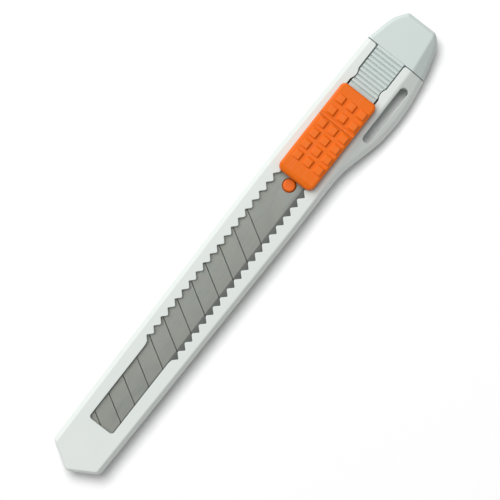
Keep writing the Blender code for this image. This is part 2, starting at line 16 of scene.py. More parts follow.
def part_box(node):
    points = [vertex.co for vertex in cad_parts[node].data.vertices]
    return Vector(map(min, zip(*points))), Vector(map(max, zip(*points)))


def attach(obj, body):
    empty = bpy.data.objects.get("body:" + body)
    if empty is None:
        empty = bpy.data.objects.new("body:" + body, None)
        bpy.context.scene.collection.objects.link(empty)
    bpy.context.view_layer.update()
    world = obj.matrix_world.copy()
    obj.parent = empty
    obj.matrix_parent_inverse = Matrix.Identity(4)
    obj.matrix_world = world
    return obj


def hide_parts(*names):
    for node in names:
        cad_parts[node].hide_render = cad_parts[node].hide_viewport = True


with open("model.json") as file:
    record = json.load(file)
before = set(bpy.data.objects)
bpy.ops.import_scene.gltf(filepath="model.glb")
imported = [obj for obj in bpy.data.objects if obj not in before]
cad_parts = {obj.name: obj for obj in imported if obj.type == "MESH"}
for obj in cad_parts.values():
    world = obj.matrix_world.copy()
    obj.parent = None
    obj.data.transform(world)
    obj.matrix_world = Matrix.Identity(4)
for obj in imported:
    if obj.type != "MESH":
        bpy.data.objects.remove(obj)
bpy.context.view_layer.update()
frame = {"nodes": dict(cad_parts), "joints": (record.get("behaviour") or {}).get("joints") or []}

MM = 0.001
NOSE = Vector((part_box("sleeve_body")[0].x, 0, 0))
TO_FRAME = Matrix.Translation(NOSE) @ Matrix.Scale(MM, 4)


def box_of(node):
    """A CAD node's lowest and highest corners, in millimetres from the nose tip."""
    return [(corner - NOSE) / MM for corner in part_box(node)]


# --- Sizes, in millimetres ------------------------------------------------------------------------

# Sleeve. Outlines are seen from above, and an edge slope is (width, depth).
SLEEVE_LOW, SLEEVE_HIGH = box_of("sleeve_body")
SEAM_X = SLEEVE_HIGH.x
SLEEVE_TOP = SLEEVE_HIGH.z
NOSE_TIP = (-0.24, 0)
SPINE_SIDE = ((3.7, 6.55), (50, 7.1), (78, 7.35), (97, 7.0), (117, 6.57), (119, 6.5))
EDGE_SIDE = ((3.7, -6.5), (24, -6.8), (50, -7.1), (73, -7.35), (85, -7.35), (89.5, -7.7),
             (94.3, -8.85), (99.5, -10.0), (104.8, -10.38), (110, -10.1),
             (117, -8.95), (119, -8.4))
NOSE_ROUNDING = 0.9
SHOULDER_ROUNDING = 0.78
LONG_EDGE_SLOPE = (0.92, 0.86)
EDGE_SOFTNESS = 0.22
NOSE_BAND_NARROWER = 0.5
NOSE_BAND_END_X = SPINE_SIDE[0][0] + 1.5
SEAM_SOFTNESS = 0.12

# The wing at the tail and the strap slot through it
WING_CREASE = ((82, -6.35), (97, -5.78), (116, -5.66))
WING_SLOPE = math.radians(29)
CREASE_SOFTNESS = 0.3
STRAP_SLOT_X = (97.0, 111.9)
STRAP_SLOT_Y = (-8.2, -6.2)
STRAP_RIM = 0.2

# The sleeve's hollow
TOP_WALL_UNDERSIDE = 6.3
CAVITY_HALF_WIDTH = 4.75
CAVITY_FLOOR = 1.2
MOUTH_FLOOR = 5.5
NOSE_BLOCK_CLEARANCE = 0.15

# Window slot, with the rack that the lock's teeth sit in. A wall is (plain part, tips of the rack's
# teeth), both measured from the centre line.
WINDOW_FRONT_X = 12.3
WINDOW_CORNER = 0.7
SPINE_WALL = (3.25, 3.4)
EDGE_WALL = (3.19, 3.33)
LEAD_IN_X = (-1.0, 0.4, 1.3)
LEAD_IN_RISE = 0.02
RACK_FIRST_NOTCH_X = 34.3
RACK_PITCH = 2.5
RACK_LAST_NOTCH = 26
RACK_OUTER = 4.35
NOTCH_HALF_WIDTH = 1.0
NOTCH_FOOT = 0.08
TOOTH_TIP = 0.14
TOOTH_ROUNDING = 0.07
SLOT_TAIL_SETBACK = 0.5
SLOT_TAIL_HALF_WIDTH = 3.9
SLOT_END_RADIUS = 0.6
SLOT_RIM = 0.14
DETENT_X = 107.6
DETENT_LENGTH = 2.9
DETENT_HEIGHT = 0.46

# Tail cap, with its plug and ridged tongue. The tongue's corner is (along, in from its side), and a
# ridge's profile is (x, z) from its own station on the tongue's top.
CAP_SPINE_SIDE = ((112, 7.25), (118.3, 5.85), (120.5, 5.35), (122.7, 4.6), (125.5, 2.7))
CAP_EDGE_SIDE = ((125.5, -4.75), (124.1, -6.4), (122.7, -7.1), (118.3, -8.45), (112, -9.95))
CAP_CORNER_ROUNDING = 0.5
CAP_CREASE = ((112, -6.3), (125.5, -4.68))
CAP_EDGE_SLOPE = (0.65, 0.62)
CAP_SEAM_GAP = 0.15
PLUG_HALF_WIDTH = 4.45
PLUG_X = 106.5
PLUG_Z = (1.5, 6.05)
PLUG_SOFTNESS = 0.35
TONGUE_X = 104.4
TONGUE_HALF_WIDTH = 3.6
TONGUE_FRONT_HALF_WIDTH = 3.5
TONGUE_CORNER = ((0, 0.4), (0.12, 0.12), (0.4, 0))
TONGUE_NOTCH_HALF_LENGTH = DETENT_LENGTH / 2 + 0.15
TONGUE_NOTCH_DEPTH = DETENT_HEIGHT - 0.02
TONGUE_NOTCH_RIM = 0.05
TONGUE_TOP = 7.3
TONGUE_SOFTNESS = 0.1
RIDGES = 10
RIDGE_PITCH = 1.0
RIDGE_FIRST_SETBACK = 0.66
RIDGE_PROFILE = ((-0.44, 0.04), (-0.1, -0.34), (0.02, -0.46), (0.15, 0.05))
SNAPPER_SLOT = ((121.5, 128), (-5.8, 3.8), (3.4, 4.3))

# Blade
BLADE_GRIND_Y = -2.85
BLADE_SLANT = math.tan(math.radians(30))
BLADE_EDGE_THICKNESS = 0.04
SCORE_DEPTH = 0.1
BLADE_HOLE_RADIUS = 1.65

# Slider: the two pads and their grip blocks. The ramp at the nose end is (length, drop).
PAD_HALF_WIDTH = 4.7
PAD_RIM = 0.62
PAD_FOOT_SOFTNESS = 0.15
BUTTON_CORNER = 1.5
BUTTON_RAMP = (1.4, 0.85)
LOCK_PAD_CORNER = 1.2
LOCK_PAD_BOTTOM = 8.25
LOCK_STEP_X = 96.7
LOCK_STEP_DEPTH = 0.2
GRIP_RISE = 0.56
GRIP_SIZE = (2.12, 2.05)
GRIP_STEEP_SETBACK = 0.36
GRIP_GENTLE_SETBACK = 0.1
GRIP_FOOT_SPREAD = 0.08
GRIP_FOOT_DEPTH = 0.15
GRIP_SOFTNESS = 0.09
GRIP_ROWS_Y = (-4.2, -1.3, 1.6)
BUTTON_GRIPS_X = (84.8, 87.75, 90.7, 93.55)
LOCK_GRIPS_X = (96.85, 99.95)

# Lock: the pad's neck and stem, and the toothed plate on the stem, as (half length, half width)
LOCK_NECK_HALF = (1.9, 2.2)
LOCK_STEM_HALF = (1.3, 1.4)
STEM_CLEARANCE = 0.05
NECK_CLEARANCE = 0.07
LOCK_PLATE_END_HALF_WIDTH = 2.6
LOCK_TOOTH_FOOT = (0.75, 3.0)
LOCK_TOOTH_TIP_HALF_WIDTH = 0.06
LOCK_TOOTH_SETBACK = 0.1
LOCK_PLATE_SOFTNESS = 0.07

# Blade carrier: the runner, the neck and stub that hold the button, and the boss in the blade's hole
RUNNER_TOP = 5.55
RUNNER_WALL = 1.2
RUNNER_SOFTNESS = 0.25
BAY_X = 95.3
BAY_TOP = 2.7
LIP_LENGTH = 0.5
LIP_TOP = 3.4
CARRIER_NECK_X = (85.1, 94.9)
CARRIER_NECK_HALF_WIDTH = 2.9
CARRIER_NECK_TOP = 7.65
STUB_X = (86.1, 93.9)
STUB_HALF_WIDTH = 2.4
STUB_CLEARANCE = 0.15
BOSS_X = box_of("blade_carrier")[0].x + 2.9
BOSS_RADIUS = 1.45
BOSS_TOP = 6.9
BOSS_SOFTNESS = 0.42

# All pieces: how far a joined shape reaches into the next, and the angle above which an edge is crisp
JOIN = 0.8
SHARP_ANGLE = math.radians(32)


# --- Drawing helpers --------------------------------------------------------------------------------

def smooth_line(points, steps):
    """A smooth line through the points, with that many lengths between each two."""
    points = [Vector((*point, 0)) for point in points]
    along = [points[0], *points, points[-1]]
    line = [points[0]]
    for before, start, end, after in zip(along, along[1:], along[2:], along[3:]):
        reach = (end - start).length / 3
        leave = start + (end - before).normalized() * reach
        arrive = end - (after - start).normalized() * reach
        line += interpolate_bezier(start, leave, arrive, end, steps + 1)[1:]
    return [(point.x, point.y) for point in line]


def shares(steps):
    """The shares from 0 to 1, in that many steps."""
    return [step / steps for step in range(steps + 1)]


def arc(x, y, radius, start, turn, steps):
    """Points round a centre, from a start angle through a turn, both in degrees."""
    angles = [math.radians(start + turn * share) for share in shares(steps)]
    return [(x + radius * math.cos(angle), y + radius * math.sin(angle)) for angle in angles]


def mirrored(side):
    """A closed outline from one side, given as (station, distance from the centre line)."""
    return side + [(x, -y) for x, y in reversed(side)]


def sheet_on(outline, z):
    """A bmesh with one flat face on an outline, looking up."""
    shape = bmesh.new()
    face = shape.faces.new([shape.verts.new((x, y, z)) for x, y in outline])
    face.normal_update()
    if face.normal.z < 0:
        face.normal_flip()
    return shape


def pull(shape, faces, move):
    """Extrudes faces and moves the new ones."""
    pulled = bmesh.ops.extrude_face_region(shape, geom=list(faces))
    moved = [item for item in pulled["geom"] if isinstance(item, bmesh.types.BMVert)]
    bmesh.ops.translate(shape, verts=moved, vec=move)
    return moved


def slab_on(outline, z):
    """A closed solid between two heights on an outline."""
    shape = sheet_on(outline, z[0])
    pull(shape, shape.faces, (0, 0, z[1] - z[0]))
    bmesh.ops.recalc_face_normals(shape, faces=shape.faces)
    return shape


def along_y(outline, y):
    """A solid drawn from the side, as (x, z), between two y."""
    shape = slab_on(outline, y)
    bmesh.ops.transform(shape, verts=shape.verts, matrix=Matrix(((1, 0, 0, 0), (0, 0, 1, 0),
                                                                 (0, 1, 0, 0), (0, 0, 0, 1))))
    bmesh.ops.recalc_face_normals(shape, faces=shape.faces)
    return shape


def block(x, y, z):
    """A box between pairs of x, y and z."""
    shape = bmesh.new()
    low, high = Vector((x[0], y[0], z[0])), Vector((x[1], y[1], z[1]))
    size = Matrix.Diagonal((*(high - low), 1))
    bmesh.ops.create_cube(shape, size=1, matrix=Matrix.Translation((low + high) / 2) @ size)
    return shape


def post(x, radius, z, sides):
    """An upright cylinder on the centre line, between a pair of z."""
    shape = bmesh.new()
    bmesh.ops.create_cone(shape, cap_ends=True, segments=sides, radius1=radius, radius2=radius,
                          depth=z[1] - z[0], matrix=Matrix.Translation((x, 0, (z[0] + z[1]) / 2)))
    return shape


def round_edges(shape, edges, width, segments):
    bmesh.ops.bevel(shape, geom=list(edges), offset=width, segments=segments, profile=0.5,
                    affect="EDGES", clamp_overlap=False, material=-1)


def round_corner(shape, corner, setback):
    """Rounds the corner of a flat sheet that is nearest to a point, from that far along its sides."""
    picked = min(shape.verts, key=lambda v: (v.co.xy - Vector(corner)).length)
    bmesh.ops.bevel(shape, geom=[picked], offset=setback, segments=7, profile=0.5,
                    affect="VERTICES", clamp_overlap=False, material=-1)


def upward(face):
    return face.normal.z > 0.7


def downward(face):
    return face.normal.z < -0.7


def rim_of(shape, facing, skip=lambda edge: False):
    """The edges between faces that look one way and the upright faces beside them."""
    shape.normal_update()
    return [edge for edge in shape.edges
            if len(edge.link_faces) == 2 and not skip(edge)
            and sum(facing(face) for face in edge.link_faces) == 1
            and any(abs(face.normal.z) < 0.3 for face in edge.link_faces)]


def at_x(station):
    """Says whether an edge runs across at a station."""
    return lambda edge: all(abs(v.co.x - station) < 0.001 for v in edge.verts)


def trim(shape, point, normal):
    """Cuts off all that lies on the normal's side of a plane, and closes the cut."""
    everything = [*shape.verts, *shape.edges, *shape.faces]
    bmesh.ops.bisect_plane(shape, geom=everything, plane_co=point, plane_no=normal, clear_outer=True)
    bmesh.ops.remove_doubles(shape, verts=shape.verts, dist=0.01)
    open_edges = [edge for edge in shape.edges if edge.is_boundary]
    bmesh.ops.holes_fill(shape, edges=open_edges)
    bmesh.ops.recalc_face_normals(shape, faces=shape.faces)


def flare(shape, top, radius, steps):
    """Carries a cutter's end face on outwards in a quarter round, then straight on."""
    for step in range(steps):
        start, end = (math.pi / 2 * count / steps for count in (step, step + 1))
        out = radius * (math.cos(start) - math.cos(end))
        rise = radius * (math.sin(end) - math.sin(start))
        bmesh.ops.inset_individual(shape, faces=[top], thickness=-out, depth=rise, use_even_offset=True)
    bmesh.ops.inset_individual(shape, faces=[top], thickness=0, depth=1.0, use_even_offset=True)


def end_face(shape, direction):
    """The face that lies furthest along z, up for 1 and down for -1."""
    return max(shape.faces, key=lambda face: direction * face.calc_center_median().z)


def as_object(name, shape):
    """Turns a bmesh into an object."""
    mesh = bpy.data.meshes.new(name)
    shape.to_mesh(mesh)
    shape.free()
    made = bpy.data.objects.new(name, mesh)
    bpy.context.scene.collection.objects.link(made)
    return made


def combine(target, others, operation):
    """Cuts or joins solids, and leaves one plain mesh."""
    for number, shape in enumerate(others):
        modifier = target.modifiers.new(f"step_{number}", "BOOLEAN")
        modifier.operation = operation
        modifier.solver = "EXACT"
        modifier.object = as_object("helper", shape)
    helpers = [modifier.object for modifier in target.modifiers]
    bpy.context.view_layer.update()
    graph = bpy.context.evaluated_depsgraph_get()
    mesh = bpy.data.meshes.new_from_object(target.evaluated_get(graph))
    target.modifiers.clear()
    target.data = mesh
    for helper in helpers:
        bpy.data.objects.remove(helper, do_unlink=True)


def finish(piece, material, body, node):
    """Cleans a finished mesh, puts it in the frame, hangs it on its body and hides the CAD node it
    stands for.
    """
    shape = bmesh.new()
    shape.from_mesh(piece.data)
    bmesh.ops.remove_doubles(shape, verts=shape.verts, dist=0.0005)
    bmesh.ops.dissolve_degenerate(shape, edges=shape.edges, dist=0.0005)
    bmesh.ops.recalc_face_normals(shape, faces=shape.faces)
    bmesh.ops.transform(shape, matrix=TO_FRAME, verts=shape.verts)
    shape.to_mesh(piece.data)
    shape.free()
    piece.data.materials.clear()
    piece.data.materials.append(material)
    piece.data.shade_smooth()
    piece.data.set_sharp_from_angle(angle=SHARP_ANGLE)
    weighted = piece.modifiers.new("even_shading", "WEIGHTED_NORMAL")
    weighted.keep_sharp = True
    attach(piece, body)
    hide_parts(node)


# --- Sleeve -----------------------------------------------------------------------------------------

def creases(line):
    """Each straight part of a crease, as (its start, the way across it towards the wing's edge)."""
    points = [Vector(point) for point in line]
    for start, end in zip(points, points[1:]):
        along = (end - start).normalized()
        yield start, Vector((along.y, -along.x))


def wing_drop(x, y, line):
    """How far the wing's surface lies below the flat top, with a soft bend at the crease."""
    distance = min((Vector((x, y)) - start).dot(across) for start, across in creases(line))
    soft = min(max(distance + CREASE_SOFTNESS, 0.0), 2 * CREASE_SOFTNESS)
    bend = soft ** 2 / (4 * CREASE_SOFTNESS)
    return math.tan(WING_SLOPE) * (bend + max(distance - CREASE_SOFTNESS, 0.0))


def score(shape, point, normal):
    """Splits every face that a plane crosses."""
    everything = [*shape.verts, *shape.edges, *shape.faces]
    bmesh.ops.bisect_plane(shape, geom=everything, plane_co=(*point, 0), plane_no=(*normal, 0))


def slope_wing(shape, line):
    """Lowers the top beyond the wing's crease."""
    parts = list(creases(line))
    for start, across in parts:
        for share in (-1, -0.5, 0, 0.5, 1):
            score(shape, start + across * share * CREASE_SOFTNESS, across)
    for (_, before), (corner, after) in zip(parts, parts[1:]):
        score(shape, corner, before - after)
    for vertex in shape.verts:
        if vertex.co.z > SLEEVE_TOP / 2:
            vertex.co.z -= wing_drop(vertex.co.x, vertex.co.y, line)


def slope_rim(shape, facing, slope):
    """A sloped edge band of a width and depth, softened where it meets the flat and the side."""
    width, depth = slope
    round_edges(shape, rim_of(shape, facing), width, 1)
    shape.normal_update()
    middle = max(face.calc_center_median().z for face in shape.faces if abs(face.normal.z) < 0.1)
    top = facing is upward
    flat, foot = (SLEEVE_TOP, SLEEVE_TOP - width) if top else (0, width)
    for vertex in shape.verts:
        if abs(vertex.co.z - foot) < 0.001:
            vertex.co.z += (width - depth) if top else (depth - width)
        elif abs(vertex.co.z - flat) < 0.001 and vertex.co.x < NOSE_BAND_END_X:
            vertex.co.x -= NOSE_BAND_NARROWER
    shape.normal_update()
    soft = [edge for edge in shape.edges if len(edge.link_faces) == 2
            and sum(0.3 < abs(face.normal.z) < 0.95 for face in edge.link_faces) == 1
            and (edge.verts[0].co.z > middle) == top]
    round_edges(shape, soft, EDGE_SOFTNESS, 3)


def outer_shell(outline, corners, slope, crease):
    """A solid on an outline with sloped edge bands, and the wing's sloped surface."""
    shape = sheet_on(outline, 0)
    for corner, setback in corners:
        round_corner(shape, corner, setback)
    pull(shape, shape.faces, (0, 0, SLEEVE_TOP))
    bmesh.ops.recalc_face_normals(shape, faces=shape.faces)
    slope_rim(shape, upward, slope)
    slope_rim(shape, downward, slope)
    slope_wing(shape, crease)
    return shape


def sleeve_outline():
    """The sleeve from above, kept within the CAD's width."""
    spine = smooth_line(SPINE_SIDE[:-1], 12)
    edge = smooth_line(EDGE_SIDE[:-1], 8)
    line = [NOSE_TIP, *spine, SPINE_SIDE[-1], EDGE_SIDE[-1], *reversed(edge)]
    return [(x, min(max(y, SLEEVE_LOW.y), SLEEVE_HIGH.y)) for x, y in line]


def slot_wall(window, tip):
    """One wall of the window slot, as (station, distance from the centre line), nose to tail."""
    wall = arc(WINDOW_FRONT_X + WINDOW_CORNER, window - WINDOW_CORNER, WINDOW_CORNER, 180, -90, 6)
    lead_in = (window, window + LEAD_IN_RISE, tip + LEAD_IN_RISE)
    start = RACK_FIRST_NOTCH_X - RACK_PITCH
    wall += smooth_line([(start + x, y) for x, y in zip(LEAD_IN_X, lead_in)], 3)
    half_pitch = RACK_PITCH / 2
    for notch in range(RACK_LAST_NOTCH + 1):
        station = RACK_FIRST_NOTCH_X + notch * RACK_PITCH
        notch_side = [(NOTCH_FOOT, RACK_OUTER), (NOTCH_HALF_WIDTH, tip + TOOTH_ROUNDING)]
        wall += [(station - out, y) for out, y in reversed(notch_side)]
        wall += [(station + out, y) for out, y in notch_side]
        wall += [(station + half_pitch + out, tip) for out in (-TOOTH_TIP, TOOTH_TIP)]
    wall.append((wall[-1][0] + SLOT_TAIL_SETBACK, SLOT_TAIL_HALF_WIDTH))
    for share in shares(14):
        bump = DETENT_HEIGHT * math.sin(math.pi * share)
        wall.append((DETENT_X + DETENT_LENGTH * (share - 0.5), SLOT_TAIL_HALF_WIDTH - bump))
    flare_y = SLOT_TAIL_HALF_WIDTH + SLOT_END_RADIUS
    wall += arc(SEAM_X - SLOT_END_RADIUS, flare_y, SLOT_END_RADIUS, -90, 90, 6)
    return wall + [(SEAM_X + 2, flare_y)]


def slot_cutter():
    """A cutter for the window slot that rounds its upper rim."""
    spine, edge = slot_wall(*SPINE_WALL), slot_wall(*EDGE_WALL)
    outline = spine + [(x, -y) for x, y in reversed(edge)]
    shape = slab_on(outline, (TOP_WALL_UNDERSIDE - SLOT_RIM, SLEEVE_TOP - SLOT_RIM))
    flare(shape, end_face(shape, 1), SLOT_RIM, 3)
    return shape


def strap_cutter():
    """A cutter for the strap slot that rounds its rim above and below."""
    (x0, x1), (y0, y1) = STRAP_SLOT_X, STRAP_SLOT_Y
    radius = (y1 - y0) / 2
    middle = (y0 + y1) / 2
    outline = arc(x0 + radius, middle, radius, 90, 180, 12)
    outline += arc(x1 - radius, middle, radius, -90, 180, 12)
    shape = slab_on(outline, (STRAP_RIM, SLEEVE_TOP - STRAP_RIM))
    for direction in (1, -1):
        flare(shape, end_face(shape, direction), STRAP_RIM, 4)
    for vertex in shape.verts:
        if vertex.co.z > SLEEVE_TOP / 2:
            vertex.co.z -= wing_drop(vertex.co.x, vertex.co.y, WING_CREASE)
    return shape


def build_sleeve(material):
    corners = ((NOSE_TIP, NOSE_ROUNDING), (SPINE_SIDE[0], SHOULDER_ROUNDING),
               (EDGE_SIDE[0], SHOULDER_ROUNDING))
    shape = outer_shell(sleeve_outline(), corners, LONG_EDGE_SLOPE, WING_CREASE)
    trim(shape, (SEAM_X, 0, 0), (1, 0, 0))
    round_edges(shape, filter(at_x(SEAM_X), shape.edges), SEAM_SOFTNESS, 2)
    slide = next(joint for joint in frame["joints"] if joint["name"] == "blade_slide")
    runner_front = box_of("blade_carrier")[0].x - slide["range_m"][1] / MM
    nose_block_x = runner_front - NOSE_BLOCK_CLEARANCE
    inside = (-CAVITY_HALF_WIDTH, CAVITY_HALF_WIDTH)
    cavity = block((nose_block_x, SEAM_X + 2), inside, (CAVITY_FLOOR, TOP_WALL_UNDERSIDE))
    mouth = block((-2, nose_block_x + 1), inside, (MOUTH_FLOOR, TOP_WALL_UNDERSIDE))
    sleeve = as_object("sleeve_shell", shape)
    combine(sleeve, (cavity, mouth, slot_cutter(), strap_cutter()), "DIFFERENCE")
    finish(sleeve, material, "sleeve", "sleeve_body")


# --- Tail cap ---------------------------------------------------------------------------------------

def tongue_outline():
    """Plan of the ridged tongue: narrow land, detent notch, then full width."""
    side = [(TONGUE_X + x, TONGUE_FRONT_HALF_WIDTH - back) for x, back in TONGUE_CORNER]
    for share in shares(10):
        wall = TONGUE_FRONT_HALF_WIDTH + (TONGUE_HALF_WIDTH - TONGUE_FRONT_HALF_WIDTH) * share
        dip = TONGUE_NOTCH_DEPTH * math.sin(math.pi * share)
        side.append((DETENT_X + 2 * TONGUE_NOTCH_HALF_LENGTH * (share - 0.5),
                     min(wall, TONGUE_HALF_WIDTH + TONGUE_NOTCH_RIM - dip)))
    return mirrored(side + [(SEAM_X + 2, TONGUE_HALF_WIDTH)])


def ridge_cutter():
    """A comb that cuts the tongue's ridges: each falls gently to a groove and ends in a short rise."""
    teeth = []
    for number in reversed(range(RIDGES)):
        station = SEAM_X - RIDGE_FIRST_SETBACK - number * RIDGE_PITCH
        teeth += [(station + x, TONGUE_TOP + z) for x, z in RIDGE_PROFILE]
    return along_y(teeth + [(SEAM_X + 1, TONGUE_TOP + 1), (TONGUE_X - 1, TONGUE_TOP + 1)], (-5, 5))


def build_cap(material):
    spine, edge = smooth_line(CAP_SPINE_SIDE, 5), smooth_line(CAP_EDGE_SIDE, 4)
    corners = ((CAP_SPINE_SIDE[-1], CAP_CORNER_ROUNDING), (CAP_EDGE_SIDE[0], CAP_CORNER_ROUNDING))
    shape = outer_shell(spine + edge, corners, CAP_EDGE_SLOPE, CAP_CREASE)
    front_x = SEAM_X + CAP_SEAM_GAP
    trim(shape, (front_x, 0, 0), (-1, 0, 0))
    round_edges(shape, filter(at_x(front_x), shape.edges), SEAM_SOFTNESS, 2)
    cap = as_object("cap_shell", shape)
    plug = block((PLUG_X, SEAM_X + 2), (-PLUG_HALF_WIDTH, PLUG_HALF_WIDTH), PLUG_Z)
    free_edges = [edge for edge in plug.edges if all(v.co.x < SEAM_X for v in edge.verts)]
    round_edges(plug, free_edges, PLUG_SOFTNESS, 3)
    tongue = slab_on(tongue_outline(), (PLUG_Z[1] - JOIN, TONGUE_TOP))
    round_edges(tongue, rim_of(tongue, upward), TONGUE_SOFTNESS, 2)
    combine(cap, (plug, tongue), "UNION")
    combine(cap, (ridge_cutter(), block(*SNAPPER_SLOT)), "DIFFERENCE")
    finish(cap, material, "cap", "tail_cap")


# --- Blade ------------------------------------------------------------------------------------------

def blade_length(low, high, start, end, square_end=False):
    """The blade's cross-section carried from one slanted station to another."""
    middle = (low.z + high.z) / 2
    half_edge = BLADE_EDGE_THICKNESS / 2
    section = ((high.y, low.z), (high.y, high.z), (BLADE_GRIND_Y, high.z), (low.y, middle + half_edge),
               (low.y, middle - half_edge), (BLADE_GRIND_Y, low.z))
    shape = bmesh.new()
    ring = [shape.verts.new((start + (y - low.y) * BLADE_SLANT, y, z)) for y, z in section]
    moved = pull(shape, [shape.faces.new(ring)], (end - start, 0, 0))
    if square_end:
        for vertex in moved:
            vertex.co.x = end
    bmesh.ops.recalc_face_normals(shape, faces=shape.faces)
    scored = [edge for edge in rim_of(shape, upward)
              if abs(edge.verts[0].co.y - edge.verts[1].co.y) > 1]
    round_edges(shape, scored, SCORE_DEPTH, 1)
    return shape


def build_blade(material):
    names = sorted(name for name in frame["nodes"] if name.startswith("blade_segment"))
    for name in names:
        low, high = box_of(name)
        slant = (high.y - low.y) * BLADE_SLANT
        segment = as_object(name.replace("blade_", "steel_"),
                            blade_length(low, high, low.x, high.x - slant))
        finish(segment, material, "carriage", name)
    low, high = box_of("blade_tang")
    tang = as_object("steel_tang", blade_length(low, high, low.x, high.x, square_end=True))
    hole = post(BOSS_X, BLADE_HOLE_RADIUS, (low.z - 2, high.z + 2), 48)
    combine(tang, [hole], "DIFFERENCE")
    finish(tang, material, "carriage", "blade_tang")


# --- Slider -----------------------------------------------------------------------------------------

def pad_shell(free_x, split_x, corner, z):
    """A slider pad, rounded at its free end and square where the two pads meet."""
    shape = block(sorted((free_x, split_x)), (-PAD_HALF_WIDTH, PAD_HALF_WIDTH), z)
    uprights = [edge for edge in filter(at_x(free_x), shape.edges)
                if abs(edge.verts[0].co.z - edge.verts[1].co.z) > 1]
    round_edges(shape, uprights, corner, 6)
    bmesh.ops.recalc_face_normals(shape, faces=shape.faces)
    return shape


def soften_pad(shape, split_x):
    round_edges(shape, rim_of(shape, upward, skip=at_x(split_x)), PAD_RIM, 5)
    round_edges(shape, rim_of(shape, downward, skip=at_x(split_x)), PAD_FOOT_SOFTNESS, 2)


def grip_blocks(stations, plane, steep_side):
    """Tilted grip blocks: steep towards the blade's edge, and to the tail (1) or the nose (-1)."""
    blocks = bmesh.new()
    size = Vector(GRIP_SIZE)
    for middle in (Vector((x, y)) + size / 2 for x in stations for y in GRIP_ROWS_Y):
        for corner in bmesh.ops.create_cube(blocks, size=2)["verts"]:
            side = corner.co.copy()
            steep = (side.x * steep_side > 0, side.y < 0)
            if side.z > 0:
                reach = [half - (GRIP_STEEP_SETBACK if is_steep else GRIP_GENTLE_SETBACK)
                         for half, is_steep in zip(size / 2, steep)]
                height = GRIP_RISE * (2 + sum(steep)) / 4
            else:
                reach = [half + GRIP_FOOT_SPREAD for half in size / 2]
                height = -GRIP_FOOT_DEPTH
            corner.co = (middle.x + side.x * reach[0], middle.y + side.y * reach[1], plane + height)
    tops = [edge for edge in blocks.edges if max(v.co.z for v in edge.verts) > plane]
    round_edges(blocks, tops, GRIP_SOFTNESS, 2)
    return blocks


def build_button(material):
    low, high = box_of("thumb_button")
    top = high.z - GRIP_RISE
    shape = pad_shell(low.x, high.x, BUTTON_CORNER, (low.z, top))
    ramp_length, ramp_drop = BUTTON_RAMP
    ramp_x = low.x + ramp_length
    score(shape, (ramp_x, 0), (1, 0))
    for vertex in shape.verts:
        if vertex.co.z > top - 0.01 and vertex.co.x < ramp_x:
            vertex.co.z -= ramp_drop * (ramp_x - vertex.co.x) / ramp_length
    soften_pad(shape, high.x)
    button = as_object("thumb_slider", shape)
    combine(button, [grip_blocks(BUTTON_GRIPS_X, top, 1)], "UNION")
    socket_x = (STUB_X[0] - STUB_CLEARANCE, STUB_X[1] + STUB_CLEARANCE)
    socket_half = STUB_HALF_WIDTH + STUB_CLEARANCE
    socket_top = box_of("blade_carrier")[1].z + STUB_CLEARANCE
    stub_socket = block(socket_x, (-socket_half, socket_half), (low.z - 2, socket_top))
    combine(button, [stub_socket], "DIFFERENCE")
    finish(button, material, "carriage", "thumb_button")


def centred_block(x, half, z):
    """A box about a station on the centre line, from its half length and half width."""
    return block((x - half[0], x + half[0]), (-half[1], half[1]), z)


def build_lock_pad(material):
    low, high = box_of("lock_pad")
    plate_low, plate_high = box_of("lock_plate")
    middle = (plate_low.x + plate_high.x) / 2
    top = high.z - GRIP_RISE
    shape = pad_shell(high.x, low.x, LOCK_PAD_CORNER, (LOCK_PAD_BOTTOM, top))
    soften_pad(shape, low.x)
    lock_pad = as_object("lock_slider", shape)
    step = block((low.x - 1, LOCK_STEP_X), (-6, 6), (top - LOCK_STEP_DEPTH, top + 1))
    combine(lock_pad, [step], "DIFFERENCE")
    neck_z = (plate_high.z + NECK_CLEARANCE, LOCK_PAD_BOTTOM + JOIN)
    neck = centred_block(middle, LOCK_NECK_HALF, neck_z)
    stem = centred_block(middle, LOCK_STEM_HALF, (low.z, plate_high.z + JOIN))
    combine(lock_pad, (grip_blocks(LOCK_GRIPS_X, top, -1), neck, stem), "UNION")
    finish(lock_pad, material, "lock", "lock_pad")


def build_lock_plate(material):
    """The steel plate under the lock pad, with a tooth for the rack on each side."""
    low, high = box_of("lock_plate")
    middle = (low.x + high.x) / 2
    foot_half, foot_y = LOCK_TOOTH_FOOT
    tip_half, tip_y = LOCK_TOOTH_TIP_HALF_WIDTH, high.y - LOCK_TOOTH_SETBACK
    tooth = ((-foot_half, foot_y), (-tip_half, tip_y), (tip_half, tip_y), (foot_half, foot_y))
    side = [(low.x, LOCK_PLATE_END_HALF_WIDTH), *((middle + x, y) for x, y in tooth),
            (high.x, LOCK_PLATE_END_HALF_WIDTH)]
    shape = slab_on(mirrored(side), (low.z, high.z))
    round_edges(shape, rim_of(shape, upward) + rim_of(shape, downward), LOCK_PLATE_SOFTNESS, 2)
    plate = as_object("toothed_plate", shape)
    hole_half = [half + STEM_CLEARANCE for half in LOCK_STEM_HALF]
    combine(plate, [centred_block(middle, hole_half, (low.z - 1, high.z + 1))], "DIFFERENCE")
    finish(plate, material, "lock", "lock_plate")


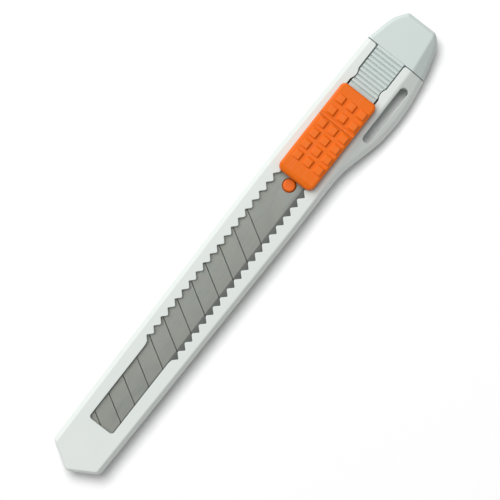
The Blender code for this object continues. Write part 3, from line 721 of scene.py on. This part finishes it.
def build_carrier(material):
    low, high = box_of("blade_carrier")
    half = high.y
    runner = block((low.x, BAY_X), (-half, half), (low.z, RUNNER_TOP))
    round_edges(runner, runner.edges, RUNNER_SOFTNESS, 3)
    carrier = as_object("runner", runner)
    inside = half - RUNNER_WALL
    pocket = block((low.x + RUNNER_WALL, BAY_X - RUNNER_WALL), (-inside, inside),
                   (0, RUNNER_TOP - RUNNER_WALL))
    combine(carrier, [pocket], "DIFFERENCE")
    bay = block((BAY_X - JOIN, high.x), (-half, half), (low.z, BAY_TOP))
    lip = block((high.x - LIP_LENGTH, high.x), (-half, half), (low.z, LIP_TOP))
    neck = block(CARRIER_NECK_X, (-CARRIER_NECK_HALF_WIDTH, CARRIER_NECK_HALF_WIDTH),
                 (RUNNER_TOP - JOIN, CARRIER_NECK_TOP))
    stub = block(STUB_X, (-STUB_HALF_WIDTH, STUB_HALF_WIDTH), (RUNNER_TOP, high.z))
    boss = post(BOSS_X, BOSS_RADIUS, (RUNNER_TOP - JOIN, BOSS_TOP), 64)
    round_edges(boss, rim_of(boss, upward), BOSS_SOFTNESS, 6)
    combine(carrier, (bay, lip, neck, stub, boss), "UNION")
    finish(carrier, material, "carriage", "blade_carrier")


# --- Finishes ---------------------------------------------------------------------------------------

class Signal:
    """A shader socket that sums can be written with."""

    def __init__(self, finish_of, socket):
        self.finish_of = finish_of
        self.socket = socket

    def work_out(self, operation, first, second):
        kind = "ShaderNodeVectorMath" if self.socket.type == "VECTOR" else "ShaderNodeMath"
        return self.finish_of.node(kind, {"operation": operation}, {0: first, 1: second})

    def __add__(self, other):
        return self.work_out("ADD", self, other)

    __radd__ = __add__

    def __sub__(self, other):
        return self.work_out("SUBTRACT", self, other)

    def __rsub__(self, other):
        return self.work_out("SUBTRACT", other, self)

    def __mul__(self, other):
        return self.work_out("MULTIPLY", self, other)

    __rmul__ = __mul__

    def __truediv__(self, other):
        return self.work_out("DIVIDE", self, other)

    def __rtruediv__(self, other):
        return self.work_out("DIVIDE", other, self)

    def between(self, low, high):
        """Rises smoothly from 0 to 1 as the signal goes from low to high."""
        return self.finish_of.node("ShaderNodeMapRange", {"interpolation_type": "SMOOTHSTEP"},
                                   {"Value": self, "From Min": low, "From Max": high})


def opaque(colour):
    return (*colour, 1)


def shade(colour, strength):
    return tuple(part * strength for part in colour)


class Finish:
    """A material on one Principled shader, with its nodes."""

    def __init__(self, name, colour, **uniform):
        self.material = bpy.data.materials.new(name)
        self.material.use_nodes = True
        self.material.diffuse_color = opaque(colour)
        self.tree = self.material.node_tree
        self.shader = self.tree.nodes["Principled BSDF"]
        for socket, value in {"Base Color": opaque(colour), **uniform}.items():
            self.shader.inputs[socket].default_value = value

    def node(self, kind, settings, sockets, output=0):
        """Any node: its settings first, then the values or links of its sockets."""
        made = self.tree.nodes.new(kind)
        for name, value in settings.items():
            setattr(made, name, value)
        for name, value in sockets.items():
            if isinstance(value, Signal):
                self.tree.links.new(value.socket, made.inputs[name])
            else:
                made.inputs[name].default_value = value
        return Signal(self, made.outputs[output])

    def place(self, scale=(1, 1, 1), turn=(0, 0, 0)):
        """Object coordinates in millimetres, stretched and turned for a pattern."""
        where = self.node("ShaderNodeTexCoord", {}, {}, "Object")
        size = tuple(amount / MM for amount in scale)
        return self.node("ShaderNodeMapping", {"vector_type": "POINT"},
                         {"Vector": where, "Rotation": turn, "Scale": size})

    def noise(self, where, scale, detail=3.0, roughness=0.55):
        """Noise from 0 to 1 with that many cells in a millimetre."""
        return self.node("ShaderNodeTexNoise", {},
                         {"Vector": where, "Scale": scale, "Detail": detail, "Roughness": roughness})

    def mix(self, share, first, second):
        """A colour between two, by share. A plain colour is given as red, green and blue."""
        first, second = (opaque(end) if isinstance(end, tuple) else end for end in (first, second))
        return self.node("ShaderNodeMix", {"data_type": "RGBA"}, {0: share, 6: first, 7: second}, 2)

    def width_place(self):
        """The piece's own y, in millimetres."""
        where = self.node("ShaderNodeTexCoord", {}, {}, "Object")
        return self.node("ShaderNodeSeparateXYZ", {}, {"Vector": where}, "Y") / MM

    def give(self, socket, signal):
        self.tree.links.new(signal.socket, self.shader.inputs[socket])

    def bump(self, height, strength, depth):
        """Feeds the shader's normal with a height; depth is the relief in millimetres."""
        relief = self.node("ShaderNodeBump", {}, {"Height": height, "Strength": strength,
                                                  "Distance": depth * MM}, "Normal")
        self.give("Normal", relief)


def moulded_plastic(name, colour, tint, grain, roughness, shine):
    """Moulded plastic: faint flow clouds, a fine spark-eroded grain, and light rubs along its length."""
    plastic = Finish(name, colour, **{"Roughness": roughness, "Specular IOR Level": shine})
    clouds = plastic.noise(plastic.place((0.35, 1, 1)), 0.09, 4).between(0.35, 0.65)
    speck = plastic.noise(plastic.place(), 9.0, 2).between(0.62, 0.78)
    along = plastic.place((0.12, 5, 5), (0, 0, 0.1))
    rubs = plastic.noise(along, 0.9, 5, 0.7).between(0.55, 0.7)
    crossways = plastic.place((4, 0.2, 3), (0, 0, 0.5))
    scuffs = plastic.noise(crossways, 0.6, 4, 0.65).between(0.62, 0.74)

    worn_tint = tuple((part + max(colour)) / 2 for part in tint)
    body = plastic.mix(clouds * 0.6, colour, tint)
    worn = plastic.mix(rubs * 0.16 + scuffs * 0.1, body, worn_tint)
    plastic.give("Base Color", plastic.mix(speck * 0.14, worn, shade(colour, 0.8)))
    plastic.give("Roughness", rubs * 0.12 - scuffs * 0.08 + clouds * 0.05 + (roughness - 0.05))

    pits = plastic.noise(plastic.place(), 5.0, 3, 0.6)
    waves = plastic.noise(plastic.place((0.4, 1, 1)), 0.3, 2, 0.5)
    plastic.bump(pits + rubs * 0.25 - scuffs * 0.3 + waves * 1.5, grain, 0.02)
    return plastic.material


def blade_finish():
    """Rolled steel: fine lines along the blade, cross-ground lines on the bevel, and the bevel's colour
    darkened as painted shade.
    """
    steel = (0.275, 0.29, 0.268)
    warm_steel = (0.28, 0.286, 0.252)
    # Darker steel for the bevel: painted shade for the bevel tilting away from the light, not a
    # different metal
    painted_shade_bevel_steel = (0.155, 0.163, 0.154)
    blade = Finish("blade_steel_finish", steel, Metallic=1.0, Roughness=0.36)
    bevel = blade.width_place().between(BLADE_GRIND_Y + 0.01, BLADE_GRIND_Y - 0.01)
    rolled = blade.noise(blade.place((0.15, 9, 1)), 1.6, 4, 0.65)
    ground = blade.noise(blade.place((12, 0.4, 1)), 1.4, 4, 0.65)
    lines = blade.node("ShaderNodeMix", {"data_type": "FLOAT"}, {0: bevel, 2: rolled, 3: ground})
    oblique = blade.place((0.3, 7, 1), (0, 0, 0.35))
    scratches = blade.noise(oblique, 0.9, 5, 0.7).between(0.62, 0.68)
    clouds = blade.noise(blade.place((0.5, 1, 1)), 0.35, 3).between(0.35, 0.65)

    lined = blade.mix(lines.between(0.3, 0.7), shade(steel, 0.86), shade(steel, 1.1))
    flat = blade.mix(clouds * 0.6, lined, warm_steel)
    # The bevel gets the darker steel here: painted shade
    blade.give("Base Color", blade.mix(bevel, flat, painted_shade_bevel_steel))
    blade.give("Roughness", lines * 0.14 + clouds * 0.06 + scratches * 0.12 + 0.3)
    blade.bump(lines - scratches * 0.8, 0.25, 0.006)
    return blade.material


def spring_finish():
    """Bright spring steel, with fine lines along it."""
    dark_line, bright_line = (0.48, 0.48, 0.47), (0.6, 0.6, 0.59)
    spring = Finish("spring_steel_finish", (0.56, 0.56, 0.55), Metallic=1.0, Roughness=0.28)
    lines = spring.noise(spring.place((0.4, 8, 8)), 1.2, 4, 0.65)
    spring.give("Base Color", spring.mix(lines.between(0.3, 0.7), dark_line, bright_line))
    spring.give("Roughness", lines * 0.18 + 0.2)
    spring.bump(lines, 0.2, 0.004)
    return spring.material


WHITE_PLASTIC = moulded_plastic(
    "sleeve_plastic", colour=(0.70, 0.745, 0.715), tint=(0.73, 0.77, 0.745),
    grain=0.12, roughness=0.42, shine=0.5)
CAP_PLASTIC = moulded_plastic(
    "cap_plastic_finish", colour=(0.585, 0.655, 0.635), tint=(0.60, 0.67, 0.65),
    grain=0.12, roughness=0.45, shine=0.5)
ORANGE_PLASTIC = moulded_plastic(
    "slider_plastic", colour=(0.82, 0.15, 0.004), tint=(0.85, 0.16, 0.005),
    grain=0.2, roughness=0.5, shine=0.2)
CARRIER_PLASTIC = moulded_plastic(
    "runner_plastic", colour=(0.82, 0.138, 0.005), tint=(0.84, 0.15, 0.006),
    grain=0.12, roughness=0.48, shine=0.25)
BLADE_STEEL = blade_finish()
SPRING_STEEL = spring_finish()


# --- Studio -----------------------------------------------------------------------------------------

# In metres, about the knife's middle
FLOOR_HALF_SIZE = 2.5
SKY_STRENGTH = 0.27
CAMERA_PLACE = (0.00015, -0.00197, 0.6075)
CAMERA_TURN = math.radians(-51.93)
CAMERA_LENS = 197


def build_floor():
    """A wide, pale sheet of paper under the knife."""
    shape = bmesh.new()
    bmesh.ops.create_grid(shape, x_segments=1, y_segments=1, size=FLOOR_HALF_SIZE)
    floor = as_object("studio_floor", shape)
    pale, fleck = (0.93, 0.93, 0.93), (0.9, 0.9, 0.9)
    paper = Finish("studio_paper", pale, Roughness=0.9)
    grain = paper.noise(paper.place(), 2.0)
    paper.give("Base Color", paper.mix(grain * 0.02, pale, fleck))
    floor.data.materials.append(paper.material)
    return floor


def build_light(name, direction, distance, size, power, floor, link):
    """A square soft light that looks at the knife's middle, for the floor only or all but the floor."""
    data = bpy.data.lights.new(name, "AREA")
    data.size = size
    data.energy = power
    light = bpy.data.objects.new(name, data)
    bpy.context.scene.collection.objects.link(light)
    light.location = Vector(direction).normalized() * distance
    light.rotation_euler = light.location.to_track_quat("Z", "Y").to_euler()
    lit = bpy.data.collections.new(f"{name}_floor")
    lit.objects.link(floor)
    lit.collection_objects[0].light_linking.link_state = link
    light.light_linking.receiver_collection = lit


def build_camera():
    """Straight down, with the knife's tail to the upper right."""
    data = bpy.data.cameras.new("studio_camera")
    data.sensor_width = 36
    data.lens = CAMERA_LENS
    camera = bpy.data.objects.new("studio_camera", data)
    bpy.context.scene.collection.objects.link(camera)
    camera.location = CAMERA_PLACE
    camera.rotation_euler = (0, 0, CAMERA_TURN)
    bpy.context.scene.camera = camera


def build_studio():
    scene = bpy.context.scene
    scene.view_settings.view_transform = "Standard"
    scene.world = bpy.data.worlds.new("studio")
    scene.world.use_nodes = True
    sky = scene.world.node_tree.nodes["Background"]
    sky.inputs["Color"].default_value = (1, 1, 1, 1)
    sky.inputs["Strength"].default_value = SKY_STRENGTH
    floor = build_floor()
    build_light("key_light", direction=(0.1, 0.56, 0.82), distance=0.9, size=1.05, power=10.4,
                floor=floor, link="EXCLUDE")
    build_light("floor_light", direction=(0.13, 0.29, 0.95), distance=1.5, size=0.7, power=20.8,
                floor=floor, link="INCLUDE")
    build_camera()


build_sleeve(WHITE_PLASTIC)
build_cap(CAP_PLASTIC)
build_blade(BLADE_STEEL)
build_button(ORANGE_PLASTIC)
build_lock_pad(ORANGE_PLASTIC)
build_lock_plate(SPRING_STEEL)
build_carrier(CARRIER_PLASTIC)
lock_spring = frame["nodes"]["lock_spring"]
lock_spring.data.materials.clear()
lock_spring.data.materials.append(SPRING_STEEL)
build_studio()
